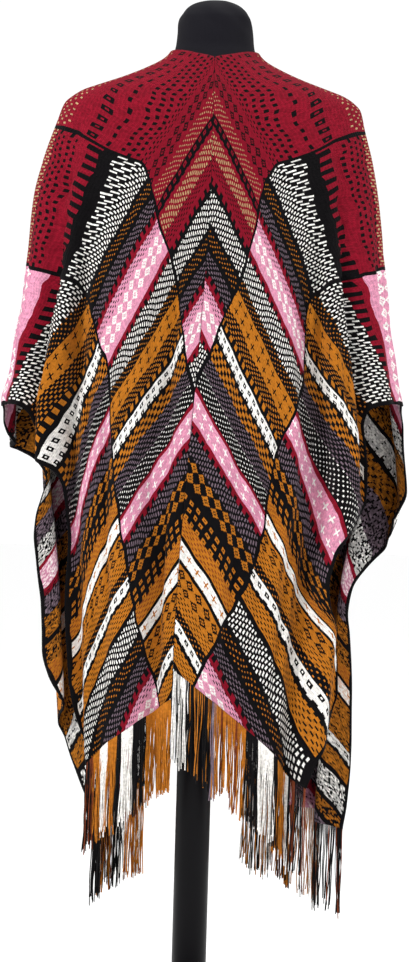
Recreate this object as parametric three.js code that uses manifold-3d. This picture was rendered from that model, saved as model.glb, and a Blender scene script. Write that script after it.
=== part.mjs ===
// A knitted, fringed ruana poncho draped on a black dress form that stands on a pole and a round base.
// Millimetres, +Z up, the front of the garment towards -Y and its left side towards +X.
// The origin is the middle of the base's underside.

import * as THREE from "three";
import { mergeVertices } from "three/addons/utils/BufferGeometryUtils.js";
import Module from "manifold-3d";

const wasm = await Module();
wasm.setup();

// Driving dimensions
const KNIT = 2; // thickness of the knitted cloth
const SEAM_GAP = 0.3; // between two pieces that are sewn or seated together
const CLOTH_LIFT = 3; // from the form's surface to the middle of the cloth that lies on it
const ROUNDNESS = 2.2; // exponent of the superellipse of every level section
const NECK_EDGE = 64; // from the middle of the neck to the poncho's inner edge at the shoulder
const NECK_BACK_Z = 1447; // height of the inner edge at the nape
const NECK_DIP = 2.5; // exponent of the neckline, which stays high at the sides and dips at the nape
const BACK_HEM_Z = { left: 536, right: 576 }; // height of the hem at the centre back seam
const FRONT_HEM_Z = { left: 385, right: 398 }; // height of the hem at the front edge
const POLE_RADIUS = 25;
const BASE_RADIUS = 190;
const BASE_THICKNESS = 12;
const SOCKET_RADIUS = 38;
const SOCKET_HEIGHT = 46;
const STAND_SIDES = 32;
const FRINGE_LENGTH = 122;
const FRINGE_STRIP = { height: 6, thickness: 2.6 }; // the narrow strip that the strands hang from
const STRAND_RADIUS = 1.2;
const STRANDS_PER_HEM = 34;
const MAT_BLACK = { color: 0x17161a, roughness: 0.85, metalness: 0 };
const SATIN_BLACK = { color: 0x141416, roughness: 0.45, metalness: 0 };
const KNIT_RED = { color: 0x9c1330, roughness: 0.9, metalness: 0 };
const YARN_OCHRE = { color: 0xc8771f, roughness: 0.9, metalness: 0 };

// The dress form: half width, and depth behind and in front of its upright axis, at each height
const FORM_LEVELS = [
  { z: 762, side: 150, back: 100, front: 92 },
  { z: 800, side: 163, back: 110, front: 100 },
  { z: 860, side: 168, back: 112, front: 104 },
  { z: 950, side: 150, back: 100, front: 98 },
  { z: 1050, side: 122, back: 84, front: 88 },
  { z: 1150, side: 138, back: 92, front: 106 },
  { z: 1255, side: 160, back: 104, front: 130 },
  { z: 1320, side: 180, back: 107, front: 118 },
  { z: 1360, side: 197, back: 102, front: 102 },
  { z: 1380, side: 202, back: 99, front: 93 },
  { z: 1392, side: 199, back: 96, front: 88 },
  { z: 1399, side: 189, back: 93, front: 83 },
  { z: 1406, side: 171, back: 90, front: 79 },
  { z: 1419, side: 134, back: 83, front: 71 },
  { z: 1434, side: 98, back: 75, front: 64 },
  { z: 1449, side: 71, back: 66, front: 59 },
  { z: 1460, side: 61, back: 60, front: 56 },
  { z: 1472, side: 57, back: 56, front: 54 },
  { z: 1490, side: 55, back: 55, front: 53 },
  { z: 1511, side: 52, back: 53, front: 51 },
  { z: 1522, side: 46, back: 47, front: 46 },
  { z: 1531, side: 36, back: 37, front: 36 },
  { z: 1537, side: 23, back: 24, front: 23 },
  { z: 1540, side: 9, back: 9, front: 9 },
];
const FORM_RINGS = 26;
const FORM_SIDES = 24;

// The body of air that the poncho wraps, below the shoulders: half width at the left and right,
// and depth of the cloth behind and in front of the axis
const CAPE_LEVELS = [
  { z: 200, left: 232, right: 236, back: 106, front: 132 },
  { z: 380, left: 244, right: 246, back: 110, front: 138 },
  { z: 540, left: 256, right: 258, back: 114, front: 142 },
  { z: 680, left: 268, right: 270, back: 118, front: 144 },
  { z: 760, left: 276, right: 284, back: 120, front: 145 },
  { z: 820, left: 285, right: 301, back: 121, front: 145 },
  { z: 880, left: 290, right: 297, back: 122, front: 144 },
  { z: 955, left: 293, right: 287, back: 121, front: 143 },
  { z: 990, left: 285, right: 279, back: 120, front: 143 },
  { z: 1050, left: 278, right: 268, back: 119, front: 142 },
  { z: 1100, left: 270, right: 260, back: 118, front: 141 },
  { z: 1150, left: 265, right: 253, back: 118, front: 141 },
  { z: 1250, left: 256, right: 242, back: 117, front: 139 },
  { z: 1310, left: 241, right: 232, back: 115, front: 130 },
  { z: 1360, left: 224, right: 219, back: 109, front: 112 },
  { z: 1384, left: 215, right: 213, back: 103, front: 97 },
];
const SHOULDER_LEVELS = { from: 1397, to: 1472, step: 6 }; // where the cloth lies on the form

// The outer selvedges, from the wrist down to each hem corner. Turn is the angle round the body:
// 0 at the side, 90 at the centre back and -90 at the centre front
const SELVEDGES = {
  left: {
    back: [
      { turn: 0, z: 944 },
      { turn: 15, z: 946 },
      { turn: 27, z: 945 },
      { turn: 31, z: 939 },
      { turn: 33, z: 917 },
      { turn: 38, z: 880 },
      { turn: 46.5, z: 851 },
      { turn: 48, z: 811 },
      { turn: 48, z: 755 },
      { turn: 47, z: 669 },
      { turn: 47, z: 598 },
      { turn: 47.5, z: 527 },
      { turn: 50, z: 473 },
      { turn: 56.5, z: 438 },
    ],
    front: [
      { turn: 0, z: 944 },
      { turn: -5, z: 909 },
      { turn: -10, z: 892 },
      { turn: -26, z: 881 },
      { turn: -29, z: 866 },
      { turn: -31, z: 845 },
      { turn: -29.5, z: 809 },
      { turn: -27.5, z: 764 },
      { turn: -28, z: 710 },
      { turn: -28.5, z: 640 },
      { turn: -28.5, z: 578 },
      { turn: -32, z: 519 },
      { turn: -43, z: 465 },
      { turn: -47.5, z: 394 },
      { turn: -50, z: 346 },
    ],
  },
  right: {
    back: [
      { turn: 0, z: 960 },
      { turn: 16, z: 962 },
      { turn: 29, z: 960 },
      { turn: 35.5, z: 953 },
      { turn: 37.5, z: 934 },
      { turn: 37.5, z: 900 },
      { turn: 37.5, z: 860 },
      { turn: 39, z: 810 },
      { turn: 47, z: 755 },
      { turn: 48.5, z: 703 },
      { turn: 46.5, z: 660 },
      { turn: 40.5, z: 606 },
      { turn: 37.5, z: 560 },
      { turn: 40, z: 511 },
      { turn: 47, z: 456 },
      { turn: 49.5, z: 412 },
    ],
    front: [
      { turn: 0, z: 960 },
      { turn: -3.5, z: 926 },
      { turn: -4.5, z: 876 },
      { turn: -5, z: 834 },
      { turn: -11, z: 795 },
      { turn: -27, z: 734 },
      { turn: -31.5, z: 680 },
      { turn: -31, z: 636 },
      { turn: -30, z: 586 },
      { turn: -29, z: 527 },
      { turn: -28, z: 452 },
      { turn: -27.5, z: 386 },
      { turn: -28.5, z: 335 },
    ],
  },
};

// The front edges: distance from the centre front plane at each height
const FRONT_EDGE = [
  { z: 300, out: 76 },
  { z: 600, out: 72 },
  { z: 900, out: 66 },
  { z: 1250, out: 58 },
  { z: 1400, out: 57 },
  { z: 1440, out: 60 },
  { z: 1472, out: 65 },
];

// The main folds. Each runs from one turn at the shoulder to another at the hem, begins at the
// height start and is full at the height full. Push is out of the cloth, lean slides the crest
// towards the centre, so that a deep fold hangs over its neighbour, and width is in degrees
const FOLDS = {
  left: [
    { name: "centre tuck", turns: [80, 84], start: 1180, full: 900, push: -17, width: 4, lean: 0.5 },
    { name: "roll beside the tuck", turns: [73, 75], start: 1180, full: 840, push: 11, width: 5, lean: 0.6 },
    { name: "blade hollow", turns: [63, 63], start: 1150, full: 780, push: -9, width: 5.4, lean: 0 },
    { name: "arm valley", turns: [53, 50], start: 1250, full: 960, push: -24, width: 4.8, lean: 0.3 },
    { name: "arm roll", turns: [44, 42], start: 1270, full: 980, push: 20, width: 4.4, lean: -0.4 },
    { name: "sleeve valley", turns: [35, 37], start: 1350, full: 1120, push: -18, width: 3.8, lean: 0 },
    { name: "sleeve roll", turns: [25, 25], start: 1320, full: 1100, push: 11, width: 5, lean: 0 },
    { name: "side hollow", turns: [-10, -12], start: 1300, full: 1050, push: -11, width: 5, lean: 0 },
    { name: "front sleeve roll", turns: [-20, -25], start: 1300, full: 940, push: 20, width: 4.6, lean: 0.3 },
    { name: "front valley one", turns: [-30, -34], start: 1270, full: 800, push: -26, width: 4.2, lean: 0.2 },
    { name: "front roll one", turns: [-39, -43], start: 1250, full: 800, push: 23, width: 4.6, lean: 0 },
    { name: "front valley two", turns: [-48, -52], start: 1220, full: 740, push: -27, width: 4, lean: 0.2 },
    { name: "front roll two", turns: [-56, -61], start: 1200, full: 740, push: 24, width: 4, lean: 0.3 },
    { name: "front edge curl", turns: [-65, -69], start: 1150, full: 740, push: -15, width: 3.6, lean: 0 },
  ],
  right: [
    { name: "nape roll", turns: [83, 81], start: 1150, full: 800, push: 7, width: 5.5, lean: 0 },
    { name: "blade hollow", turns: [69, 71], start: 1150, full: 840, push: -9, width: 6, lean: 0 },
    { name: "arm valley", turns: [56, 54], start: 1280, full: 1000, push: -24, width: 5, lean: 0.3 },
    { name: "arm roll", turns: [48, 47], start: 1290, full: 1000, push: 17, width: 4.4, lean: 0 },
    { name: "sleeve valley", turns: [40, 40], start: 1360, full: 1160, push: -15, width: 4, lean: 0 },
    { name: "sleeve roll", turns: [29, 28], start: 1330, full: 1120, push: 11, width: 5, lean: 0 },
    { name: "side hollow", turns: [-9, -11], start: 1300, full: 1050, push: -11, width: 5, lean: 0 },
    { name: "front sleeve roll", turns: [-19, -26], start: 1290, full: 940, push: 18, width: 4.6, lean: 0.3 },
    { name: "front valley one", turns: [-29, -37], start: 1260, full: 800, push: -25, width: 4.2, lean: 0.2 },
    { name: "front roll one", turns: [-38, -45], start: 1240, full: 800, push: 25, width: 4.2, lean: 0.3 },
    { name: "front valley two", turns: [-47, -53], start: 1210, full: 740, push: -27, width: 4, lean: 0.2 },
    { name: "front roll two", turns: [-55, -61], start: 1190, full: 740, push: 24, width: 4, lean: 0.3 },
    { name: "front edge curl", turns: [-64, -68], start: 1150, full: 740, push: -14, width: 3.8, lean: 0 },
  ],
};
const FOLD_SPAN = { top: 1400, hem: 400 }; // the heights that a fold's two turns belong to
const FOLD_SPREAD = 2; // how many times wider a fold is at the top than at the hem

// The centre back seam drifts towards the left as it hangs
const SEAM_DRIFT = { start: 1300, end: 560, shift: 26 };

// Mesh of each half: columns across, rows down the back and down the front
const COLUMNS = 25;
const BACK_ROWS = 24;
const FRONT_ROWS = 23;
const NECK = { rows: 4, share: 0.09 }; // rows round the neck, and the part of the length they cover
const ROW_GROWTH = 1.2; // rows lie closer together towards the shoulder

const clamp = THREE.MathUtils.clamp;
const lerp = THREE.MathUtils.lerp;
const rad = THREE.MathUtils.degToRad;
const smooth = (t) => clamp(t, 0, 1) ** 2 * (3 - 2 * clamp(t, 0, 1));

// A smooth curve through rows of a table, which never swings past them
function curveThrough(rows, key) {
  const x = rows.map((r) => r.z);
  const y = rows.map((r) => r[key]);
  const slope = x.slice(1).map((v, i) => (y[i + 1] - y[i]) / (v - x[i]));
  const tangent = x.map((_, i) => {
    const [a, b] = [slope[Math.max(i - 1, 0)], slope[Math.min(i, slope.length - 1)]];
    return a * b <= 0 ? 0 : (2 * a * b) / (a + b);
  });
  return (z) => {
    const i = clamp(x.findIndex((v) => v > z) - 1, 0, x.length - 2);
    const last = z >= x[x.length - 1] ? x.length - 2 : i;
    const h = x[last + 1] - x[last];
    const t = clamp((z - x[last]) / h, 0, 1);
    const [t2, t3] = [t * t, t * t * t];
    return (
      y[last] * (2 * t3 - 3 * t2 + 1) +
      tangent[last] * h * (t3 - 2 * t2 + t) +
      y[last + 1] * (3 * t2 - 2 * t3) +
      tangent[last + 1] * h * (t3 - t2)
    );
  };
}

const form = {
  side: curveThrough(FORM_LEVELS, "side"),
  back: curveThrough(FORM_LEVELS, "back"),
  front: curveThrough(FORM_LEVELS, "front"),
};

// Over the shoulders the cloth takes the form's own sections, moved out and up
function capeLevels() {
  const rows = [...CAPE_LEVELS];
  for (let z = SHOULDER_LEVELS.from; z <= SHOULDER_LEVELS.to; z += SHOULDER_LEVELS.step) {
    const under = z - CLOTH_LIFT;
    const side = form.side(under) + CLOTH_LIFT;
    rows.push({
      z,
      left: side,
      right: side,
      back: form.back(under) + CLOTH_LIFT,
      front: form.front(under) + CLOTH_LIFT,
    });
  }
  return rows;
}

const levels = capeLevels();
const cape = {
  left: curveThrough(levels, "left"),
  right: curveThrough(levels, "right"),
  back: curveThrough(levels, "back"),
  front: curveThrough(levels, "front"),
};
const frontEdgeOut = curveThrough(FRONT_EDGE, "out");

// The point of the smooth cape at a turn and a height: out from the centre plane, y to the back
function capePoint(half, turn, z) {
  const [c, s] = [Math.cos(rad(turn)), Math.sin(rad(turn))];
  const depth = turn >= 0 ? cape.back(z) : cape.front(z);
  const power = 2 / ROUNDNESS;
  return new THREE.Vector3(
    cape[half](z) * Math.max(c, 0) ** power,
    Math.sign(s) * depth * Math.abs(s) ** power,
    z,
  );
}

// The places that lie at the given shares of the length of a line on the cape
function placesAt(half, places, shares) {
  const points = places.map((p) => capePoint(half, p.turn, p.z));
  const along = [0];
  for (let i = 1; i < points.length; i++)
    along.push(along[i - 1] + points[i].distanceTo(points[i - 1]));
  const total = along[along.length - 1];
  return shares.map((share) => {
    const want = total * share;
    const i = clamp(along.findIndex((v) => v >= want) - 1, 0, points.length - 2);
    const t = clamp((want - along[i]) / (along[i + 1] - along[i] || 1), 0, 1);
    return {
      turn: lerp(places[i].turn, places[i + 1].turn, t),
      z: lerp(places[i].z, places[i + 1].z, t),
    };
  });
}

function splinePlaces(rows) {
  const curve = new THREE.SplineCurve(rows.map((r) => new THREE.Vector2(r.turn, r.z)));
  return curve.getPoints(rows.length * 24).map((p) => ({ turn: p.x, z: p.y }));
}

function straightPlaces(from, to, steps = 120) {
  return Array.from({ length: steps + 1 }, (_, i) => ({
    turn: lerp(from.turn, to.turn, i / steps),
    z: lerp(from.z, to.z, i / steps),
  }));
}

const columnShares = Array.from({ length: COLUMNS + 1 }, (_, c) => c / COLUMNS);

function rowShares(rows) {
  return Array.from({ length: rows + 1 }, (_, r) => {
    if (r <= NECK.rows) return (NECK.share * r) / NECK.rows;
    return NECK.share + (1 - NECK.share) * ((r - NECK.rows) / (rows - NECK.rows)) ** ROW_GROWTH;
  });
}

// The height at which the shoulder of the cape is as wide as the neck edge
function neckSideZ(half) {
  let [low, high] = [SHOULDER_LEVELS.from, SHOULDER_LEVELS.to];
  for (let i = 0; i < 40; i++) {
    const middle = (low + high) / 2;
    if (cape[half](middle) > NECK_EDGE) low = middle;
    else high = middle;
  }
  return low;
}

// The turn at which the front edge lies at a height
function frontEdgeTurn(half, z) {
  const share = clamp(frontEdgeOut(z) / cape[half](z), 0, 1);
  return -THREE.MathUtils.radToDeg(Math.acos(share ** (ROUNDNESS / 2)));
}

function frontEdgePlaces(half, top) {
  return Array.from({ length: 301 }, (_, i) => {
    const z = lerp(top, FRONT_HEM_Z[half], (i / 300) ** 2);
    return { turn: i ? frontEdgeTurn(half, z) : 0, z };
  });
}

const frontInner = (half, top, shares) => placesAt(half, frontEdgePlaces(half, top), shares);

function neckPlaces(top) {
  return Array.from({ length: 121 }, (_, i) => ({
    turn: (90 * i) / 120,
    z: lerp(top, NECK_BACK_Z, (i / 120) ** NECK_DIP),
  }));
}

// Round the neck to the nape, then down the centre back seam
function backInner(half, top, shares) {
  const nape = { turn: 90, z: NECK_BACK_Z };
  const neckShares = shares.filter((v) => v < NECK.share).map((v) => v / NECK.share);
  const seamShares = shares
    .filter((v) => v >= NECK.share)
    .map((v) => (v - NECK.share) / (1 - NECK.share));
  return [
    ...placesAt(half, neckPlaces(top), neckShares),
    ...placesAt(half, straightPlaces(nape, { turn: 90, z: BACK_HEM_Z[half] }), seamShares),
  ];
}

// Fills one patch with rows that run straight from its inner edge to its selvedge on the cape
function patchPlaces(half, face) {
  const top = neckSideZ(half);
  const shares = rowShares(face === "back" ? BACK_ROWS : FRONT_ROWS);
  const inner = face === "back" ? backInner(half, top, shares) : frontInner(half, top, shares);
  const selvedge = placesAt(half, splinePlaces(SELVEDGES[half][face]), shares);
  return inner.map((place, r) =>
    placesAt(half, straightPlaces(place, selvedge[r]), columnShares),
  );
}

// Moves a point out of the dress form, so that the cloth rests on it
function clearOfForm(point) {
  if (point.z < FORM_LEVELS[0].z - 20) return;
  const depth = (point.y > 0 ? form.back(point.z) : form.front(point.z)) + CLOTH_LIFT;
  const side = form.side(point.z) + CLOTH_LIFT;
  const inside =
    (Math.abs(point.x) / side) ** ROUNDNESS + (Math.abs(point.y) / depth) ** ROUNDNESS;
  if (inside >= 1) return;
  const grow = inside ** (-1 / ROUNDNESS);
  point.x *= grow;
  point.y *= grow;
}

// The cloth's middle surface at a place on the cape, with its folds
function clothPoint(half, { turn, z }) {
  const point = capePoint(half, turn, z);
  const [c, s] = [Math.cos(rad(turn)), Math.sin(rad(turn))];
  const depth = turn >= 0 ? cape.back(z) : cape.front(z);
  const steep = 2 - 2 / ROUNDNESS;
  const normal = new THREE.Vector3(
    Math.max(c, 0) ** steep / cape[half](z),
    (Math.sign(s) * Math.abs(s) ** steep) / depth,
    0,
  ).normalize();
  const inwards = new THREE.Vector3(-Math.abs(normal.y), Math.sign(s || 1) * normal.x, 0);
  for (const fold of FOLDS[half]) {
    const down = clamp((FOLD_SPAN.top - z) / (FOLD_SPAN.top - FOLD_SPAN.hem), 0, 1);
    const width = fold.width * lerp(FOLD_SPREAD, 1, smooth(down * 1.6));
    const away = (turn - lerp(fold.turns[0], fold.turns[1], down)) / width;
    const grown = smooth((fold.start - z) / (fold.start - fold.full));
    const push = fold.push * grown * Math.exp(-away * away);
    point.addScaledVector(normal, push);
    point.addScaledVector(inwards, fold.lean * Math.abs(push));
  }
  clearOfForm(point);
  point.x = Math.max(point.x, 0) + SEAM_GAP / 2;
  if (half === "right") point.x = -point.x;
  const drift = smooth((SEAM_DRIFT.start - z) / (SEAM_DRIFT.start - SEAM_DRIFT.end));
  point.x += turn > 0 ? SEAM_DRIFT.shift * drift * s ** 6 : 0;
  return point;
}

// One half of the poncho as a grid, from the back hem over the shoulder to the front hem
function panelPlaces(half) {
  return [...patchPlaces(half, "back").reverse(), ...patchPlaces(half, "front").slice(1)];
}

// Tells for each cell of a grid which of its diagonals lies nearer to the cloth
function diagonals(half, places, points) {
  return places.slice(1).map((row, r) =>
    row.slice(1).map((_, c) => {
      const corners = [places[r][c], places[r][c + 1], places[r + 1][c + 1], places[r + 1][c]];
      const middle = clothPoint(half, {
        turn: corners.reduce((sum, p) => sum + p.turn, 0) / 4,
        z: corners.reduce((sum, p) => sum + p.z, 0) / 4,
      });
      const [a, b] = [points[r][c], points[r][c + 1]];
      const [d, e] = [points[r + 1][c + 1], points[r + 1][c]];
      const first = a.clone().add(d).divideScalar(2).distanceTo(middle);
      const second = b.clone().add(e).divideScalar(2).distanceTo(middle);
      return first <= second;
    }),
  );
}

// Unit normals of a grid, out of the body. On the centre seam they keep to the seam's plane, and
// they are level along the hems, so that a fringe fits under them
function gridNormals(grid, half) {
  const flip = half === "left" ? -1 : 1;
  return grid.map((row, r) =>
    row.map((_, c) => {
      const down = new THREE.Vector3().subVectors(
        grid[Math.min(r + 1, grid.length - 1)][c],
        grid[Math.max(r - 1, 0)][c],
      );
      const across = new THREE.Vector3().subVectors(
        row[Math.min(c + 1, row.length - 1)],
        row[Math.max(c - 1, 0)],
      );
      const normal = across.cross(down).multiplyScalar(flip);
      if (c === 0 && r < BACK_ROWS) normal.x = 0;
      if (r === 0 || r === grid.length - 1) normal.z = 0;
      return normal.normalize();
    }),
  );
}

// A closed wall round a grid of middle points, each cell split along its chosen diagonal
function wall(grid, normals, flipped, thickness, firstDiagonal = () => true) {
  const [rows, columns] = [grid.length, grid[0].length];
  const positions = [];
  for (const side of [thickness / 2, -thickness / 2])
    for (let r = 0; r < rows; r++)
      for (let c = 0; c < columns; c++)
        positions.push(...grid[r][c].clone().addScaledVector(normals[r][c], side).toArray());
  const at = (layer, r, c) => layer * rows * columns + r * columns + c;
  const faces = [];
  const quad = (a, b, c, d) => faces.push(...(flipped ? [a, c, b, a, d, c] : [a, b, c, a, c, d]));
  for (let r = 0; r + 1 < rows; r++)
    for (let c = 0; c + 1 < columns; c++) {
      const outer = [at(0, r, c), at(0, r, c + 1), at(0, r + 1, c + 1), at(0, r + 1, c)];
      const inner = [at(1, r, c), at(1, r + 1, c), at(1, r + 1, c + 1), at(1, r, c + 1)];
      if (!firstDiagonal(r, c)) {
        outer.push(outer.shift());
        inner.push(inner.shift());
      }
      quad(...outer);
      quad(...inner);
    }
  for (let r = 0; r + 1 < rows; r++) {
    quad(at(0, r, 0), at(0, r + 1, 0), at(1, r + 1, 0), at(1, r, 0));
    const end = columns - 1;
    quad(at(0, r, end), at(1, r, end), at(1, r + 1, end), at(0, r + 1, end));
  }
  for (let c = 0; c + 1 < columns; c++) {
    quad(at(0, 0, c), at(1, 0, c), at(1, 0, c + 1), at(0, 0, c + 1));
    const end = rows - 1;
    quad(at(0, end, c), at(0, end, c + 1), at(1, end, c + 1), at(1, end, c));
  }
  const geometry = new THREE.BufferGeometry();
  geometry.setAttribute("position", new THREE.Float32BufferAttribute(positions, 3));
  geometry.setIndex(faces);
  return geometry;
}

function solidOf(geometry) {
  const bare = geometry.clone();
  bare.deleteAttribute("normal");
  bare.deleteAttribute("uv");
  const merged = mergeVertices(bare, 1e-4);
  return new wasm.Manifold(
    new wasm.Mesh({
      numProp: 3,
      vertProperties: merged.attributes.position.array,
      triVerts: new Uint32Array(merged.index.array),
    }),
  );
}

function geometryOf(solid) {
  const mesh = solid.getMesh();
  const geometry = new THREE.BufferGeometry();
  geometry.setAttribute("position", new THREE.BufferAttribute(mesh.vertProperties, 3));
  geometry.setIndex(new THREE.BufferAttribute(mesh.triVerts, 1));
  return geometry;
}

// A number from -1 to 1 that belongs to a strand and stays the same each time
const scatter = (n, salt) => 2 * ((Math.abs(Math.sin(n * 12.9898 + salt * 78.233)) * 43758.5453) % 1) - 1;

// A point, or a normal, at a share of the way along a row of them
function alongRow(row, share) {
  const at = share * (row.length - 1);
  const i = Math.min(Math.floor(at), row.length - 2);
  return row[i].clone().lerp(row[i + 1], at - i);
}

// The fringe of one hem: a strip under the cloth's edge, and the strands that hang from it
function fringe(hem, normals, flipped, salt) {
  const gap = SEAM_GAP * 3; // straight down, so that it is still wide enough under a sloping hem
  const level = normals.map((n) => new THREE.Vector3(n.x, n.y, 0).normalize());
  const rows = [gap, gap + FRINGE_STRIP.height].map((drop) =>
    hem.map((p) => p.clone().add(new THREE.Vector3(0, 0, -drop))),
  );
  let solid = solidOf(wall(rows, [level, level], flipped, FRINGE_STRIP.thickness));
  const triangle = new THREE.Shape(
    [0, 120, 240].map(
      (a) => new THREE.Vector2(STRAND_RADIUS * Math.cos(rad(a)), STRAND_RADIUS * Math.sin(rad(a))),
    ),
  );
  for (let n = 0; n < STRANDS_PER_HEM; n++) {
    const share = (n + 0.5) / STRANDS_PER_HEM;
    const root = alongRow(hem, share);
    const out = alongRow(level, share);
    const length = FRINGE_LENGTH * (1 + 0.1 * scatter(n, salt));
    const path = [gap + 2, gap + FRINGE_STRIP.height + 3, length].map((drop, i) =>
      root
        .clone()
        .addScaledVector(out, i > 1 ? 4 * scatter(n, salt + i) : 0)
        .add(new THREE.Vector3(i > 1 ? scatter(n, salt + 5) : 0, 0, -drop)),
    );
    const strand = new THREE.ExtrudeGeometry(triangle, {
      steps: 2,
      bevelEnabled: false,
      extrudePath: new THREE.CatmullRomCurve3(path),
    });
    solid = solid.add(solidOf(strand));
  }
  return geometryOf(solid);
}

// The dress form: a loft of level rings, closed flat under the hips and over the neck
function formGeometry() {
  const [low, high] = [FORM_LEVELS[0].z, FORM_LEVELS[FORM_LEVELS.length - 1].z];
  const heights = FORM_LEVELS.map((row) => row.z);
  while (heights.length < FORM_RINGS) {
    const gaps = heights.slice(1).map((z, i) => z - heights[i]);
    const widest = gaps.indexOf(Math.max(...gaps));
    heights.splice(widest + 1, 0, (heights[widest] + heights[widest + 1]) / 2);
  }
  const positions = [];
  for (const z of heights)
    for (let i = 0; i < FORM_SIDES; i++) {
      const angle = (2 * Math.PI * i) / FORM_SIDES;
      const [c, s] = [Math.cos(angle), Math.sin(angle)];
      const power = 2 / ROUNDNESS;
      const depth = s >= 0 ? form.back(z) : form.front(z);
      positions.push(
        Math.sign(c) * form.side(z) * Math.abs(c) ** power,
        Math.sign(s) * depth * Math.abs(s) ** power,
        z,
      );
    }
  positions.push(0, 0, low, 0, 0, high);
  const foot = heights.length * FORM_SIDES;
  const faces = [];
  for (let i = 0; i < FORM_SIDES; i++) {
    const next = (i + 1) % FORM_SIDES;
    for (let r = 0; r + 1 < heights.length; r++) {
      const [a, b] = [r * FORM_SIDES + i, r * FORM_SIDES + next];
      faces.push(a, b, b + FORM_SIDES, a, b + FORM_SIDES, a + FORM_SIDES);
    }
    const top = (heights.length - 1) * FORM_SIDES;
    faces.push(foot, next, i, foot + 1, top + i, top + next);
  }
  const geometry = new THREE.BufferGeometry();
  geometry.setAttribute("position", new THREE.Float32BufferAttribute(positions, 3));
  geometry.setIndex(faces);
  return geometry;
}

// The pole stands in the base's socket and ends under the form
function poleGeometry() {
  const from = BASE_THICKNESS + SEAM_GAP;
  const to = FORM_LEVELS[0].z - SEAM_GAP;
  const geometry = new THREE.CylinderGeometry(POLE_RADIUS, POLE_RADIUS, to - from, STAND_SIDES);
  geometry.rotateX(Math.PI / 2).translate(0, 0, (from + to) / 2);
  return geometry;
}

// A round plate with a socket for the pole, turned about the pole's axis
function baseGeometry() {
  const bore = POLE_RADIUS + SEAM_GAP;
  const edge = 4;
  const profile = [
    [0, 0],
    [BASE_RADIUS - edge, 0],
    [BASE_RADIUS, edge],
    [BASE_RADIUS, BASE_THICKNESS - edge],
    [BASE_RADIUS - edge, BASE_THICKNESS],
    [SOCKET_RADIUS + edge, BASE_THICKNESS],
    [SOCKET_RADIUS, BASE_THICKNESS + edge],
    [SOCKET_RADIUS, SOCKET_HEIGHT - edge],
    [SOCKET_RADIUS - edge, SOCKET_HEIGHT],
    [bore, SOCKET_HEIGHT],
    [bore, BASE_THICKNESS],
    [0, BASE_THICKNESS],
  ].map(([x, y]) => new THREE.Vector2(x, y));
  const geometry = new THREE.LatheGeometry(profile, STAND_SIDES);
  geometry.rotateX(Math.PI / 2);
  return geometry;
}

const poncho = new THREE.Group();

function place(name, geometry, finish) {
  const mesh = new THREE.Mesh(geometry, new THREE.MeshStandardMaterial(finish));
  mesh.name = name;
  poncho.add(mesh);
}

for (const half of ["left", "right"]) {
  const places = panelPlaces(half);
  const grid = places.map((row) => row.map((place) => clothPoint(half, place)));
  const normals = gridNormals(grid, half);
  const split = diagonals(half, places, grid);
  const flipped = half === "left";
  const last = grid.length - 1;
  const salt = half === "left" ? 1 : 11;
  place(`panel_${half}`, wall(grid, normals, flipped, KNIT, (r, c) => split[r][c]), KNIT_RED);
  place(`fringe_back_${half}`, fringe(grid[0], normals[0], !flipped, salt), YARN_OCHRE);
  place(`fringe_front_${half}`, fringe(grid[last], normals[last], flipped, salt + 5), YARN_OCHRE);
}
place("dress_form", formGeometry(), MAT_BLACK);
place("stand_pole", poleGeometry(), SATIN_BLACK);
place("stand_base", baseGeometry(), SATIN_BLACK);

export default poncho;
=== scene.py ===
# %% [markdown]
# # A knitted poncho on a dress form
#
# The object is a light knitted wrap with fringed ends, hung over the shoulders of a black dress
# form on a pole. We see its back. The frame below comes from the CAD model, in metres, and every
# piece of the render is made in that same frame, so nothing has to be fitted afterwards.

# %% The frame
import math

import bmesh
import bpy
import numpy as np
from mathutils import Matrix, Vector


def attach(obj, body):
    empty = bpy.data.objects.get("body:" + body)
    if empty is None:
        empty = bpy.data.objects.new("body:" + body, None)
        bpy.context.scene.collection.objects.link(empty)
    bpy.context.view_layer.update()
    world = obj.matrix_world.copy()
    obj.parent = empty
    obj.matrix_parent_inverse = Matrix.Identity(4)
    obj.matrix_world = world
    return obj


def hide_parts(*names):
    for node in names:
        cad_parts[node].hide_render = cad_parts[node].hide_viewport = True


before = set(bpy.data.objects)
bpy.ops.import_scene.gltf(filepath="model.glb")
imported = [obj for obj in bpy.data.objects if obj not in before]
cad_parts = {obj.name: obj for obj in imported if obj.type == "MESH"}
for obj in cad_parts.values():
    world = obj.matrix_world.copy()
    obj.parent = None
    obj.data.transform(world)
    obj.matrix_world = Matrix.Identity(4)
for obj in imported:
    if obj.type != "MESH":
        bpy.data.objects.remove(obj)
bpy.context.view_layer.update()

# %% [markdown]
# ## The camera
#
# The photograph was taken level with the middle of the cloth, from straight behind, about four
# metres away. A long lens keeps the outline flat. The form leans a little to the right in the
# picture, so the camera is rolled by the same small angle instead of tilting the form.

# %% Camera
VIEW_HEIGHT = 1.395  # metres that the picture's height covers at the form
SENSOR_SIZE = 36  # mm, along the picture's longer side
CAMERA_DISTANCE = 4.0
CAMERA_SIDEWAYS, CAMERA_HEIGHT = -0.0028, 0.844
CAMERA_ROLL = math.radians(-1.66)

camera_data = bpy.data.cameras.new("view_from_behind")
camera_data.sensor_width = SENSOR_SIZE
camera_data.lens = SENSOR_SIZE * CAMERA_DISTANCE / VIEW_HEIGHT
camera = bpy.data.objects.new("view_from_behind", camera_data)
camera.location = (CAMERA_SIDEWAYS, CAMERA_DISTANCE, CAMERA_HEIGHT)
camera.rotation_mode = "XYZ"
camera.rotation_euler = (math.radians(90), CAMERA_ROLL, math.radians(180))
bpy.context.scene.collection.objects.link(camera)
bpy.context.scene.camera = camera
bpy.context.scene.view_settings.view_transform = "Standard"
print("lens:", round(camera_data.lens, 1), "mm")

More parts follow.
